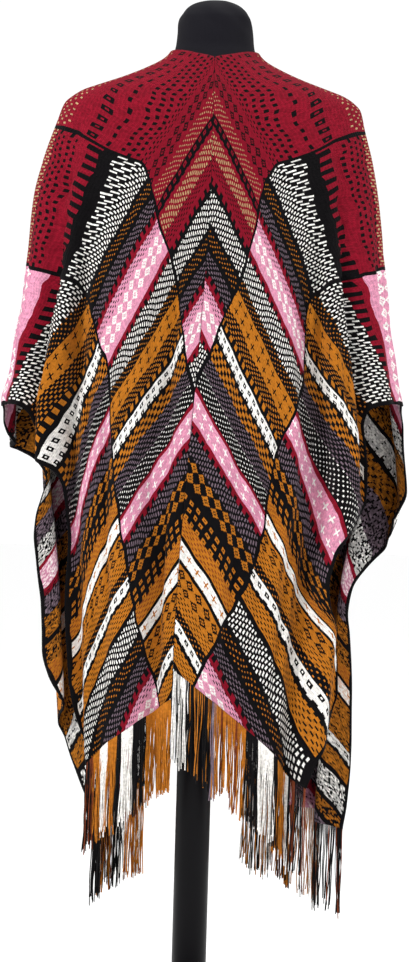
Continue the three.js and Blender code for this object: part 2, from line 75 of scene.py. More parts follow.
# %% [markdown]
# ## Small helpers
#
# Colours are written as the sRGB hex values that one would pick from a photograph, and Blender
# wants them linear, so one function turns them. Materials are node trees, and one function adds a
# node, sets it, and links what goes into it. Inputs come in the node's own order, or by their
# capitalised names, and lower-case names are settings. It hands back the first live output.

# %% Helpers for colours, nodes and objects
def linear(hex_colour):
    channels = [(hex_colour >> shift & 255) / 255 for shift in (16, 8, 0)]
    return [c / 12.92 if c <= 0.04045 else ((c + 0.055) / 1.055) ** 2.4 for c in channels] + [1]


def add(tree, kind, *inputs, **settings):
    node = tree.nodes.new(kind)
    named = {name: settings.pop(name) for name in list(settings) if name[0].isupper()}
    for name, value in settings.items():
        setattr(node, name, value)
    live = [socket for socket in node.inputs if socket.enabled]
    sockets = [node.inputs[name] for name in named]
    for socket, value in [*zip(live, inputs), *zip(sockets, named.values())]:
        if isinstance(value, bpy.types.NodeSocket):
            tree.links.new(value, socket)
        else:
            socket.default_value = value
    return next(socket for socket in node.outputs if socket.enabled)


def new_material(name, roughness, sheen=0.0, specular=0.5):
    material = bpy.data.materials.new(name)
    material.use_nodes = True
    shader = material.node_tree.nodes["Principled BSDF"]
    shader.inputs["Roughness"].default_value = roughness
    shader.inputs["Sheen Weight"].default_value = sheen
    shader.inputs["Specular IOR Level"].default_value = specular
    return material, material.node_tree, shader


def new_piece(name, mesh, slot, *materials):
    piece = bpy.data.objects.new(name, mesh)
    bpy.context.scene.collection.objects.link(piece)
    for material in materials:
        mesh.materials.append(material)
    mesh.polygons.foreach_set("use_smooth", [True] * len(mesh.polygons))
    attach(piece, "root")
    return piece


M, MIX = "ShaderNodeMath", "ShaderNodeMix"  # the two kinds of node that the knit is full of
print("mid grey is", round(linear(0x808080)[0], 3), "when linear")

# %% [markdown]
# ## The dress form's levels
#
# A dress form is a smooth padded body. Every level section is a superellipse, an oval with
# slightly fuller corners, and this table gives its half width and its depth behind and in front
# of the pole. Curves run through the rows without swinging past them.

# %% Sections of the dress form, in millimetres
ROUNDNESS = 2.2
FORM_LEVELS = np.array([
    # z, half width, depth behind, depth in front
    (762, 150, 100, 92), (800, 163, 110, 100), (860, 168, 112, 104), (950, 150, 100, 98),
    (1050, 122, 84, 88), (1150, 138, 92, 106), (1255, 160, 104, 130), (1320, 180, 107, 118),
    (1360, 197, 102, 102), (1380, 202, 99, 93), (1392, 199, 96, 88), (1399, 189, 93, 83),
    (1406, 171, 90, 79), (1419, 134, 83, 71), (1434, 98, 75, 64), (1449, 71, 66, 59),
    (1460, 61, 60, 56), (1472, 57, 56, 54), (1490, 55, 55, 53), (1511, 52, 53, 51),
    (1522, 46, 47, 46), (1531, 36, 37, 36), (1537, 23, 24, 23), (1540, 9, 9, 9),
], float)


def curve_through(x, y):
    x, y = np.asarray(x, float), np.asarray(y, float)
    slope = np.diff(y, axis=0) / np.diff(x).reshape(-1, *[1] * (y.ndim - 1))
    before, after = np.concatenate([slope[:1], slope]), np.concatenate([slope, slope[-1:]])
    same = before * after > 0
    tangent = np.where(same, 2 * before * after / np.where(same, before + after, 1), 0)

    def at(z):
        z = np.asarray(z, float)
        i = np.clip(np.searchsorted(x, z, side="right") - 1, 0, len(x) - 2)
        wide = z.shape + (1,) * (y.ndim - 1)
        h = (x[i + 1] - x[i]).reshape(wide)
        t = np.clip((z - x[i]).reshape(wide) / h, 0, 1)
        return (
            y[i] * (2 * t**3 - 3 * t**2 + 1) + tangent[i] * h * (t**3 - 2 * t**2 + t)
            + y[i + 1] * (3 * t**2 - 2 * t**3) + tangent[i + 1] * h * (t**3 - t**2)
        )
    return at


form_side, form_back, form_front = (
    curve_through(FORM_LEVELS[:, 0], FORM_LEVELS[:, k]) for k in (1, 2, 3)
)
print("bust is", 2 * form_side(1255), "mm wide,", form_back(1255) + form_front(1255), "mm deep")

# %% [markdown]
# ## The air that the cloth wraps
#
# Below the shoulders the cloth hangs clear of the form. A second table describes that hanging
# body, wider than the form because the cloth falls from the shoulder's point to the wrist. Over
# the shoulders the cloth lies on the form, so there the form's own sections are moved outwards.

# %% Sections of the hanging cloth, in millimetres
CLOTH_LIFT = 3  # from the form to the middle of the cloth
CAPE_LEVELS = [
    # z, half width left, half width right, depth behind, depth in front
    (200, 232, 236, 106, 132), (380, 244, 246, 110, 138), (540, 256, 258, 114, 142),
    (680, 268, 270, 118, 144), (760, 276, 284, 120, 145), (820, 285, 301, 121, 145),
    (880, 290, 297, 122, 144), (955, 293, 287, 121, 143), (990, 285, 279, 120, 143),
    (1050, 278, 268, 119, 142), (1100, 270, 260, 118, 141), (1150, 265, 253, 118, 141),
    (1250, 256, 242, 117, 139), (1310, 241, 232, 115, 130), (1360, 224, 219, 109, 112),
    (1384, 215, 213, 103, 97),
]
for z in range(1397, 1473, 6):
    side = float(form_side(z - CLOTH_LIFT)) + CLOTH_LIFT
    back, front = (float(f(z - CLOTH_LIFT)) + CLOTH_LIFT for f in (form_back, form_front))
    CAPE_LEVELS.append((z, side, side, back, front))
CAPE_LEVELS = np.array(CAPE_LEVELS, float)
cape = {
    name: curve_through(CAPE_LEVELS[:, 0], CAPE_LEVELS[:, k + 1])
    for k, name in enumerate(["left", "right", "back", "front"])
}


def cape_point(half, turn, z):
    c, s = np.maximum(np.cos(np.radians(turn)), 0), np.sin(np.radians(turn))
    depth = np.where(turn >= 0, cape["back"](z), cape["front"](z))
    power = 2 / ROUNDNESS
    return np.stack([cape[half](z) * c**power, np.sign(s) * depth * np.abs(s) ** power, z], -1)


print("cloth is", cape["left"](955) + cape["right"](955), "mm wide at the wrists")

# %% [markdown]
# ## Where the cloth's edges run
#
# Each half of the wrap is one long knitted panel. Its outer selvedge falls from the wrist, its
# inner edge runs round the neck and then down the back seam or the front edge, and its short ends
# are the hems. Each edge is a list of places on the hanging body: a turn round it and a height.

# %% Edges of the panels
NECK_EDGE, NECK_BACK_Z, NECK_DIP = 64, 1447, 2.5
BACK_HEM_Z = {"left": 536, "right": 576}
FRONT_HEM_Z = {"left": 385, "right": 398}
SELVEDGES = {  # (turn, z) from the wrist down to the hem's corner
    ("left", "back"): [(0, 944), (15, 946), (27, 945), (31, 939), (33, 917), (38, 880),
        (46.5, 851), (48, 811), (48, 755), (47, 669), (47, 598), (47.5, 527), (50, 473),
        (56.5, 438)],
    ("left", "front"): [(0, 944), (-5, 909), (-10, 892), (-26, 881), (-29, 866), (-31, 845),
        (-29.5, 809), (-27.5, 764), (-28, 710), (-28.5, 640), (-28.5, 578), (-32, 519),
        (-43, 465), (-47.5, 394), (-50, 346)],
    ("right", "back"): [(0, 960), (16, 962), (29, 960), (35.5, 953), (37.5, 934), (37.5, 900),
        (37.5, 860), (39, 810), (47, 755), (48.5, 703), (46.5, 660), (40.5, 606), (37.5, 560),
        (40, 511), (47, 456), (49.5, 412)],
    ("right", "front"): [(0, 960), (-3.5, 926), (-4.5, 876), (-5, 834), (-11, 795), (-27, 734),
        (-31.5, 680), (-31, 636), (-30, 586), (-29, 527), (-28, 452), (-27.5, 386), (-28.5, 335)],
}
FRONT_EDGE = np.array([(300, 76), (600, 72), (900, 66), (1250, 58), (1400, 57), (1440, 60),
                       (1472, 65)], float)
COLUMNS, BACK_ROWS, FRONT_ROWS = 25, 24, 23
NECK_ROWS, NECK_SHARE, ROW_GROWTH = 4, 0.09, 1.2  # the first rows lie close, round the neck
column_shares = np.arange(COLUMNS + 1) / COLUMNS
print("places on the selvedges:", {edge: len(places) for edge, places in SELVEDGES.items()})

# %% Shares, lines and curves along the cloth
def row_shares(rows):
    r = np.arange(rows + 1)
    low = NECK_SHARE * r / NECK_ROWS
    high = NECK_SHARE + (1 - NECK_SHARE) * (
        np.maximum(r - NECK_ROWS, 0) / (rows - NECK_ROWS)) ** ROW_GROWTH
    return np.where(r <= NECK_ROWS, low, high)


def straight(start, end, steps=120):
    return np.linspace(start, end, steps + 1)


def spline_through(rows):
    p = np.array([rows[0], *rows, rows[-1]], float)
    count = len(rows) * 24
    at = (len(rows) - 1) * np.arange(count + 1) / count
    i = np.minimum(np.floor(at).astype(int), len(rows) - 2)
    t = (at - i)[:, None]
    p0, p1, p2, p3 = p[i], p[i + 1], p[i + 2], p[i + 3]
    v0, v1 = (p2 - p0) / 2, (p3 - p1) / 2
    return ((2 * p1 - 2 * p2 + v0 + v1) * t**3 + (-3 * p1 + 3 * p2 - 2 * v0 - v1) * t**2
            + v0 * t + p1)


def places_at(half, places, shares):
    points = cape_point(half, places[:, 0], places[:, 1])
    along = np.r_[0, np.cumsum(np.linalg.norm(np.diff(points, axis=0), axis=1))]
    return np.stack([np.interp(shares * along[-1], along, places[:, k]) for k in (0, 1)], -1)


def neck_side_z(half):
    low, high = 1397.0, 1472.0
    for _ in range(40):
        middle = (low + high) / 2
        low, high = (middle, high) if cape[half](middle) > NECK_EDGE else (low, middle)
    return low


def front_edge_places(half, top):
    z = top + (FRONT_HEM_Z[half] - top) * (np.arange(301) / 300) ** 2
    share = np.clip(curve_through(*FRONT_EDGE.T)(z) / cape[half](z), 0, 1)
    turn = -np.degrees(np.arccos(share ** (ROUNDNESS / 2)))
    turn[0] = 0
    return np.stack([turn, z], -1)


print("first rows, in thousandths of the length:", (row_shares(BACK_ROWS)[:5] * 1000).round())

# %% [markdown]
# ## From edges to a surface
#
# Rows run straight across the hanging body, each from its own point on the inner edge to the
# point at the same share of the selvedge's length, and every row is divided evenly. Rows that
# never cross keep the cloth from crossing itself. This also gives the run of the knit: its
# columns fan from the shoulder line to the hems as real stitches do.

# %% Rows from edge to edge
BACK_TURN = 90  # degrees, straight behind; 0 is at the side and -90 straight in front


def patch_places(half, face):
    top = neck_side_z(half)
    shares = row_shares(BACK_ROWS if face == "back" else FRONT_ROWS)
    if face == "back":
        round_neck = shares[shares < NECK_SHARE] / NECK_SHARE
        steps = np.arange(121) / 120
        neckline = np.stack([BACK_TURN * steps, top + (NECK_BACK_Z - top) * steps**NECK_DIP], -1)
        down_seam = (shares[shares >= NECK_SHARE] - NECK_SHARE) / (1 - NECK_SHARE)
        seam = straight((BACK_TURN, NECK_BACK_Z), (BACK_TURN, BACK_HEM_Z[half]))
        inner = np.concatenate([
            places_at(half, neckline, round_neck), places_at(half, seam, down_seam),
        ])
    else:
        inner = places_at(half, front_edge_places(half, top), shares)
    selvedge = places_at(half, spline_through(SELVEDGES[half, face]), shares)
    rows = [places_at(half, straight(*ends), column_shares) for ends in zip(inner, selvedge)]
    return shares, np.array(rows)


patches = {(half, face): patch_places(half, face)
           for half in ("left", "right") for face in ("back", "front")}
print("patches:", {name: grid.shape for name, (_, grid) in patches.items()})

# %% [markdown]
# ## The folds
#
# Loose knit hangs in soft folds, and each is listed one by one. A fold follows one turn round the
# body, starts somewhere under the shoulder and deepens towards the hem. Rolls push outwards and
# valleys inwards, and a lean lets a deep roll hang over the valley beside it. The first rows are
# the folds of the CAD model, and the fine creases that follow are only drawn here.

# %% The folds, in degrees and millimetres
FOLDS = {  # turn at the shoulder, turn at the hem, start z, full z, push, width, lean
    "left": [
        (80, 84, 1180, 900, -17, 4, 0.5), (73, 75, 1180, 840, 11, 5, 0.6),
        (63, 63, 1150, 780, -9, 5.4, 0), (53, 50, 1250, 960, -24, 4.8, 0.3),
        (44, 42, 1270, 980, 20, 4.4, -0.4), (35, 37, 1350, 1120, -18, 3.8, 0),
        (25, 25, 1320, 1100, 11, 5, 0), (-10, -12, 1300, 1050, -11, 5, 0),
        (-20, -25, 1300, 940, 20, 4.6, 0.3), (-30, -34, 1270, 800, -26, 4.2, 0.2),
        (-39, -43, 1250, 800, 23, 4.6, 0), (-48, -52, 1220, 740, -27, 4, 0.2),
        (-56, -61, 1200, 740, 24, 4, 0.3), (-65, -69, 1150, 740, -15, 3.6, 0),
    ],
    "right": [
        (83, 81, 1150, 800, 7, 5.5, 0), (69, 71, 1150, 840, -9, 6, 0),
        (56, 54, 1280, 1000, -24, 5, 0.3), (48, 47, 1290, 1000, 17, 4.4, 0),
        (40, 40, 1360, 1160, -15, 4, 0), (29, 28, 1330, 1120, 11, 5, 0),
        (-9, -11, 1300, 1050, -11, 5, 0), (-19, -26, 1290, 940, 18, 4.6, 0.3),
        (-29, -37, 1260, 800, -25, 4.2, 0.2), (-38, -45, 1240, 800, 25, 4.2, 0.3),
        (-47, -53, 1210, 740, -27, 4, 0.2), (-55, -61, 1190, 740, 24, 4, 0.3),
        (-64, -68, 1150, 740, -14, 3.8, 0),
    ],
}
CREASES = {  # turn at its top, turn at its foot, top z, foot z, push, width, lean
    "left": [
        (35, 36.6, 1370, 840, -15, 1.7, 0.5), (51.5, 50, 1280, 720, -20, 2.1, -0.5),
        (82, 85, 1170, 540, -11, 1.3, 0.4), (27, 26, 1300, 930, -6, 1.4, 0.3),
        (77, 78, 1120, 700, -3.5, 1.7, 0), (69, 70, 1010, 520, 4.2, 1.9, 0),
        (66, 67, 960, 500, -6.0, 1.4, 0.3), (59, 57, 1120, 600, -5.5, 1.8, 0.2),
        (56, 54, 1180, 820, 4.0, 1.7, 0), (42, 41, 1230, 860, -5.0, 1.3, 0.2),
        (14, 12, 1340, 980, -5.0, 1.8, 0), (5, 4, 1300, 960, -3.0, 2.6, 0),
        (45, 43, 980, 700, 4.0, 1.8, 0), (-16, -17, 1250, 930, 3.2, 2.2, 0),
        (62, 72, 1385, 1240, -3.0, 2.2, 0), (40, 52, 1392, 1290, -3.4, 2.4, 0),
    ],
    "right": [
        (38, 40, 1360, 820, -15, 1.7, 0.5), (53, 52.7, 1310, 560, -16, 1.7, -0.5),
        (29, 29, 1330, 960, -6, 1.4, 0.3), (88, 87, 1080, 620, -3.5, 1.6, 0),
        (79, 76, 1010, 500, -6.5, 1.6, 0.3), (75, 73, 960, 480, 4.0, 1.8, 0),
        (64, 66, 1120, 640, 4.4, 2.0, 0), (61, 62, 1080, 470, -7.5, 1.5, 0.3),
        (47, 46, 1230, 760, -4.5, 1.3, 0.2), (43, 44, 1200, 820, 4.0, 1.5, 0),
        (18, 17, 1320, 980, -5.2, 1.8, 0), (8, 7, 1330, 980, 3.0, 2.6, 0),
        (50, 51, 720, 420, -4.5, 1.5, 0.2), (-14, -15, 1240, 900, 3.0, 2.2, 0),
        (60, 70, 1388, 1230, -3.0, 2.2, 0), (38, 50, 1392, 1280, -3.4, 2.4, 0),
    ],
}
print("folds:", {half: len(rows) + len(CREASES[half]) for half, rows in FOLDS.items()})

# %% Cloth hung from the folds
FOLD_TOP, FOLD_SPAN = 1400, 1000  # where folds may start to turn, and over how many mm they do
CREASE_WANDER = 0.9  # degrees that a crease strays to each side
RIPPLE_LARGE, RIPPLE_SMALL = 1.6, 1.0  # mm, the knit's own unevenness
RIPPLE_TOP, RIPPLE_SPAN = 1380, 300  # it grows below the shoulders, where the cloth hangs free
FORM_FOOT = 742  # the form is kept clear of down to here
SEAM_GAP = 0.3  # mm between the two panels
SEAM_DRIFT, DRIFT_TOP, DRIFT_FULL = 34, 1300, 560  # the back seam hangs askew, most at its end


def smooth(t):
    t = np.clip(t, 0, 1)
    return t * t * (3 - 2 * t)


def wobble(x, seed):
    return sum(np.sin(x * f + seed * 1.7 * f) / f for f in (1.0, 1.7, 2.9)) / 1.6


def cloth_point(half, turn, z):
    point = cape_point(half, turn, z)
    c, s = np.maximum(np.cos(np.radians(turn)), 0), np.sin(np.radians(turn))
    depth = np.where(turn >= 0, cape["back"](z), cape["front"](z))
    steep = 2 - 2 / ROUNDNESS
    normal = np.stack([c**steep / cape[half](z), np.sign(s) * np.abs(s) ** steep / depth,
                       np.zeros_like(z)], -1)
    normal /= np.linalg.norm(normal, axis=-1, keepdims=True)
    side = np.where(s >= 0, 1.0, -1.0)
    inwards = np.stack([-np.abs(normal[..., 1]), side * normal[..., 0], np.zeros_like(z)], -1)
    down = np.clip((FOLD_TOP - z) / FOLD_SPAN, 0, 1)
    for top, hem, start, full, push, width, lean in FOLDS[half]:
        spread = width * (2 - smooth(down * 1.6))
        away = (turn - top - (hem - top) * down) / spread
        out = push * smooth((start - z) / (start - full)) * np.exp(-away * away)
        point += normal * out[..., None] + inwards * lean * np.abs(out)[..., None]
    for k, (top, foot, high, low, push, width, lean) in enumerate(CREASES[half]):
        along = np.clip((high - z) / (high - low), 0, 1)
        centre = top + (foot - top) * along + CREASE_WANDER * wobble(z / 70, k)
        away = (turn - centre) / (width * (1.2 - 0.3 * wobble(z / 90, k + 5)))
        out = push * np.sin(np.pi * along) ** 0.6 * np.exp(-away * away)
        point += normal * out[..., None] + inwards * lean * np.abs(out)[..., None]
    loose = smooth((RIPPLE_TOP - z) / RIPPLE_SPAN)
    ripple = (RIPPLE_LARGE * wobble(turn * 0.55 + z / 160, 3)
              + RIPPLE_SMALL * wobble(z / 38 + turn * 0.2, 8))
    point += normal * (ripple * loose)[..., None]
    return keep_off_form(point)


def keep_off_form(point):
    x, y, z = point[..., 0], point[..., 1], point[..., 2]
    depth = np.where(y > 0, form_back(z), form_front(z)) + CLOTH_LIFT
    inside = ((np.abs(x) / (form_side(z) + CLOTH_LIFT)) ** ROUNDNESS
              + (np.abs(y) / depth) ** ROUNDNESS)
    pushed = np.maximum(inside, 1e-6) ** (-1 / ROUNDNESS)
    grow = np.where((inside < 1) & (z > FORM_FOOT), pushed, 1)
    return np.stack([x * grow, y * grow, z], -1)


def hang(half, turn, z):
    point = cloth_point(half, turn, z)
    point[..., 0] = np.maximum(point[..., 0], 0) + SEAM_GAP / 2
    if half == "right":
        point[..., 0] *= -1
    drift = smooth((DRIFT_TOP - z) / (DRIFT_TOP - DRIFT_FULL))
    point[..., 0] += np.where(turn > 0, SEAM_DRIFT * drift * np.sin(np.radians(turn)) ** 6, 0)
    return point / 1000


print("nape at", hang("left", np.array(90.0), np.array(float(NECK_BACK_Z))).round(4), "m")

# %% [markdown]
# ## Knitting the panels
#
# A grid of cells a few millimetres wide is bent onto that surface. Its UV map holds the flat
# cloth's own measures in metres: across from the cut edge to the selvedge, and along from the
# shoulder line to each hem. The inner edge is cut on a slant, so the hems are narrower than the
# shoulder, and each hem slopes, so its inner corner hangs lower in the cut than its outer one.
# A second attribute tells how far each stitch lies from the cloth's bound edges.

# %% The two panels as meshes
PANEL_WIDTH, SLANT_CUT = 0.61, 0.37
INNER_LENGTH = {"back": 0.85, "front": 0.93}
SELVEDGE_LENGTH = {"back": 0.69, "front": 0.71}
SLANT_START = 0.08  # share of the length, from the shoulder line, that the slant leaves whole
FRONT_EDGE_START = 0.12  # share where the front's inner edge leaves the neck and is bound
CELLS_ACROSS, CELLS_ALONG = 140, 300


def fine_places(half, v, u):
    rows = []
    for face, wanted in (("back", -v[v < 0]), ("front", v[v >= 0])):
        shares, grid = patches[half, face]
        by_row = curve_through(shares, grid)(wanted)
        rows.append(np.swapaxes(curve_through(column_shares, np.swapaxes(by_row, 0, 1))(u), 0, 1))
    return np.concatenate(rows)


def cloth_mesh(half):
    bm = bmesh.new()
    bmesh.ops.create_grid(bm, x_segments=CELLS_ACROSS, y_segments=CELLS_ALONG, size=0.5)
    flat = np.array([vert.co[:2] for vert in bm.verts])
    across, along = (np.unique(flat[:, k].round(5)) for k in (0, 1))
    column, row = (np.searchsorted(values, flat[:, k].round(5))
                   for k, values in enumerate((across, along)))
    u = np.linspace(0, 1, len(across))
    v = np.linspace(-1, 1, len(along))
    places = fine_places(half, v, u)
    points = hang(half, places[..., 0], places[..., 1])
    for vert, point in zip(bm.verts, points[row, column]):
        vert.co = point
    if half == "left":
        bmesh.ops.reverse_faces(bm, faces=bm.faces)
    mesh = bpy.data.meshes.new(f"cloth_{half}")
    bm.to_mesh(mesh)
    bm.free()
    inner, selvedge = (np.where(v < 0, lengths["back"], lengths["front"])[:, None]
                       for lengths in (INNER_LENGTH, SELVEDGE_LENGTH))
    flat_v = v[:, None] * (inner * (1 - u) + selvedge * u)
    cut = SLANT_CUT * np.clip((np.abs(v) - SLANT_START) / (1 - SLANT_START), 0, 1)
    flat_u = cut[:, None] + (PANEL_WIDTH - cut[:, None]) * u
    cloth_uv = np.stack([flat_u, flat_v], -1)
    corners = np.empty(len(mesh.loops), np.int32)
    mesh.loops.foreach_get("vertex_index", corners)
    layer = mesh.uv_layers.new(name="cloth")
    layer.data.foreach_set("uv", cloth_uv[row, column][corners].ravel())
    inner_edge = np.where(v[:, None] > FRONT_EDGE_START, flat_u - cut[:, None], 1.0)
    edge = np.minimum(PANEL_WIDTH - flat_u, inner_edge)
    attribute = mesh.attributes.new("from_edge", "FLOAT", "POINT")
    attribute.data.foreach_set("value", edge[row, column].astype(np.float32))
    rising, falling = cloth_uv[1:, 1:] - cloth_uv[:-1, :-1], cloth_uv[1:, :-1] - cloth_uv[:-1, 1:]
    cut_area = abs(rising[..., 0] * falling[..., 1] - rising[..., 1] * falling[..., 0]).sum() / 2
    return mesh, points, float(cut_area)


print("cells in a panel:", CELLS_ACROSS * CELLS_ALONG)

# %% Making and measuring both panels
def line_length(points):
    return float(np.linalg.norm(np.diff(points, axis=0), axis=1).sum())


meshes, surfaces = {}, {}
for half in ("left", "right"):
    meshes[half], surfaces[half], cut_area = cloth_mesh(half)
    surface = surfaces[half]
    middle = CELLS_ALONG // 2
    lines = {"back hem": surface[0], "shoulder line": surface[middle], "front hem": surface[-1],
             "back seam": surface[:middle + 1, 0], "front edge": surface[middle:, 0],
             "back selvedge": surface[:middle + 1, -1], "front selvedge": surface[middle:, -1]}
    area = sum(polygon.area for polygon in meshes[half].polygons)
    print(half, "panel:", round(area, 3), "square metres, cut from", round(cut_area, 3))
    print({name: round(line_length(points), 3) for name, points in lines.items()})

# %% [markdown]
# ## The knitted bands
#
# The cloth is a fine jacquard knit in matt yarns. Each stitch has one colour, so the pattern is
# worked out in whole stitches: which column, which row. Bands run across the panel, and each has
# a ground, a figure yarn and a small traditional motif such as diamonds, crosses or dashes. The
# panel is knitted in three lengthwise strips with a black line between them, and each strip is
# some rows further down the table than the one before it, so the bands step like patchwork. Wool
# fibres scatter light at grazing angles, hence a high roughness and a little sheen.

# %% Yarn colours and the table of bands
YARN = {
    "red": 0x840E23, "black": 0x0A080A, "white": 0xFAF7F2, "pink": 0xE096B2, "lilac": 0x7A6874,
    "ochre": 0xBC721E, "rust": 0x7E3A1C, "sand": 0xB89C72,
}
# Real stitches of a knit this fine are about 1.5 mm wide. These are drawn coarser, 2.4 by 2.0 mm,
# because stitches of the true size are too fine to show in the render.
STITCH_WIDTH, STITCH_HEIGHT = 0.0024, 0.0020
YARN_PULL = 0.012  # metres that the loose knit is pulled askew, at most
PULL_SCALE = 22  # askew in patches of about 45 mm, a metre divided by this
YOKE_ROWS = 122  # rows of the red yoke, which isn't repeated when the table has run out
BANDS = [  # rows of knitting, ground, figure, motif
    (14, "red", "sand", "specks"), (3, "red", "red", "plain"), (9, "red", "black", "squares"),
    (3, "red", "red", "plain"), (12, "red", "black", "dashes"), (3, "red", "red", "plain"),
    (17, "red", "black", "diamonds"), (3, "red", "red", "plain"), (14, "red", "sand", "specks"),
    (9, "black", "red", "squares"), (3, "red", "red", "plain"), (15, "red", "sand", "ticks"),
    (9, "red", "black", "dashes"), (4, "red", "red", "plain"), (4, "black", "red", "teeth"),
    (4, "black", "black", "plain"), (20, "black", "white", "ticks"),
    (4, "black", "black", "plain"), (10, "black", "ochre", "specks"),
    (4, "black", "black", "plain"), (12, "black", "lilac", "dashes"), (4, "black", "red", "teeth"),
    (3, "red", "red", "plain"), (8, "pink", "black", "dashes"), (17, "pink", "white", "diamonds"),
    (5, "pink", "pink", "plain"), (3, "red", "red", "plain"), (4, "black", "red", "teeth"),
    (20, "black", "white", "ticks"), (10, "black", "ochre", "specks"),
    (17, "ochre", "black", "crosses"), (12, "black", "ochre", "dashes"),
    (4, "black", "ochre", "teeth"), (3, "black", "black", "plain"),
    (11, "white", "black", "squares"), (3, "black", "black", "plain"),
    (14, "ochre", "black", "checks"), (15, "black", "lilac", "dashes"),
    (16, "black", "white", "specks"), (3, "red", "red", "plain"),
    (17, "pink", "white", "crosses"), (3, "red", "red", "plain"), (4, "black", "red", "teeth"),
    (15, "black", "lilac", "ticks"), (17, "black", "ochre", "diamonds"),
    (4, "black", "black", "plain"), (17, "black", "ochre", "squares"),
    (12, "ochre", "rust", "dashes"), (3, "black", "black", "plain"),
    (11, "white", "ochre", "crosses"), (3, "black", "black", "plain"),
    (17, "ochre", "black", "diamonds"), (10, "ochre", "black", "dashes"),
    (8, "black", "ochre", "specks"), (9, "white", "black", "squares"),
    (3, "black", "black", "plain"), (14, "ochre", "black", "dashes"),
]
STRIP_COLUMNS, STRIP_SHIFT = 84, 96  # stitches across a strip, rows from one to the next
MOTIFS = ["plain", "dashes", "specks", "ticks", "teeth", "checks", "diamonds", "crosses", "squares"]
TABLE_ROWS = sum(band[0] for band in BANDS)
print("the table covers", round(TABLE_ROWS * STITCH_HEIGHT, 3), "m of cloth")

# %% The motifs as nodes
def motif_masks(tree, column, local):
    pair = add(tree, M, add(tree, M, local, 2.0, operation="DIVIDE"), operation="FLOOR")
    shifted = add(tree, M, pair, 2.0, column, operation="MULTIPLY_ADD")
    in_four = add(tree, M, shifted, 4.0, operation="FLOORED_MODULO")
    even = add(tree, M, add(tree, M, local, 2.0, operation="FLOORED_MODULO"), 0.5,
               operation="LESS_THAN")
    dashes = add(tree, M, add(tree, M, in_four, 1.5, operation="LESS_THAN"), even,
                 operation="MULTIPLY")
    specks = add(tree, M, add(tree, M, in_four, 0.5, operation="LESS_THAN"), even,
                 operation="MULTIPLY")
    two_columns = add(tree, M, add(tree, M, column, 2.0, operation="DIVIDE"), operation="FLOOR")
    lifted = add(tree, M, two_columns, 2.0, local, operation="MULTIPLY_ADD")
    in_five = add(tree, M, lifted, 5.0, operation="FLOORED_MODULO")
    odd_column = add(tree, M, add(tree, M, column, 2.0, operation="FLOORED_MODULO"), 0.5,
                     operation="LESS_THAN")
    ticks = add(tree, M, add(tree, M, in_five, 2.5, operation="LESS_THAN"), odd_column,
                operation="MULTIPLY")
    teeth = add(tree, M, add(tree, M, column, 6.0, operation="FLOORED_MODULO"), 2.5,
                operation="LESS_THAN")
    threes = [add(tree, M, add(tree, M, count, 3.0, operation="DIVIDE"), operation="FLOOR")
              for count in (column, local)]
    checks = add(tree, M, add(tree, M, add(tree, M, *threes, operation="ADD"), 2.0,
                              operation="FLOORED_MODULO"), 0.5, operation="LESS_THAN")
    far = {}
    for period in (8, 6):
        far[period] = [
            add(tree, M, add(tree, M, add(tree, M, count, float(period),
                                          operation="FLOORED_MODULO"),
                             period / 2, operation="SUBTRACT"), operation="ABSOLUTE")
            for count in (column, local)
        ]
    reach = add(tree, M, *far[8], operation="ADD")
    ring = add(tree, M, add(tree, M, reach, 3.5, operation="LESS_THAN"),
               add(tree, M, reach, 1.5, operation="GREATER_THAN"), operation="MULTIPLY")
    diamonds = add(tree, M, ring, add(tree, M, reach, 0.5, operation="LESS_THAN"), operation="ADD")
    arms = add(tree, M, add(tree, M, *far[8], operation="MAXIMUM"), 2.5, operation="LESS_THAN")
    near = add(tree, M, add(tree, M, *far[8], operation="MINIMUM"), 0.5, operation="LESS_THAN")
    crosses = add(tree, M, near, arms, operation="MULTIPLY")
    wide = add(tree, M, *far[6], operation="MAXIMUM")
    squares = add(tree, M, add(tree, M, wide, 0.5, operation="GREATER_THAN"),
                  add(tree, M, wide, 1.5, operation="LESS_THAN"), operation="MULTIPLY")
    return {"dashes": dashes, "specks": specks, "ticks": ticks, "teeth": teeth, "checks": checks,
            "diamonds": diamonds, "crosses": crosses, "squares": squares}


print("motifs:", MOTIFS)

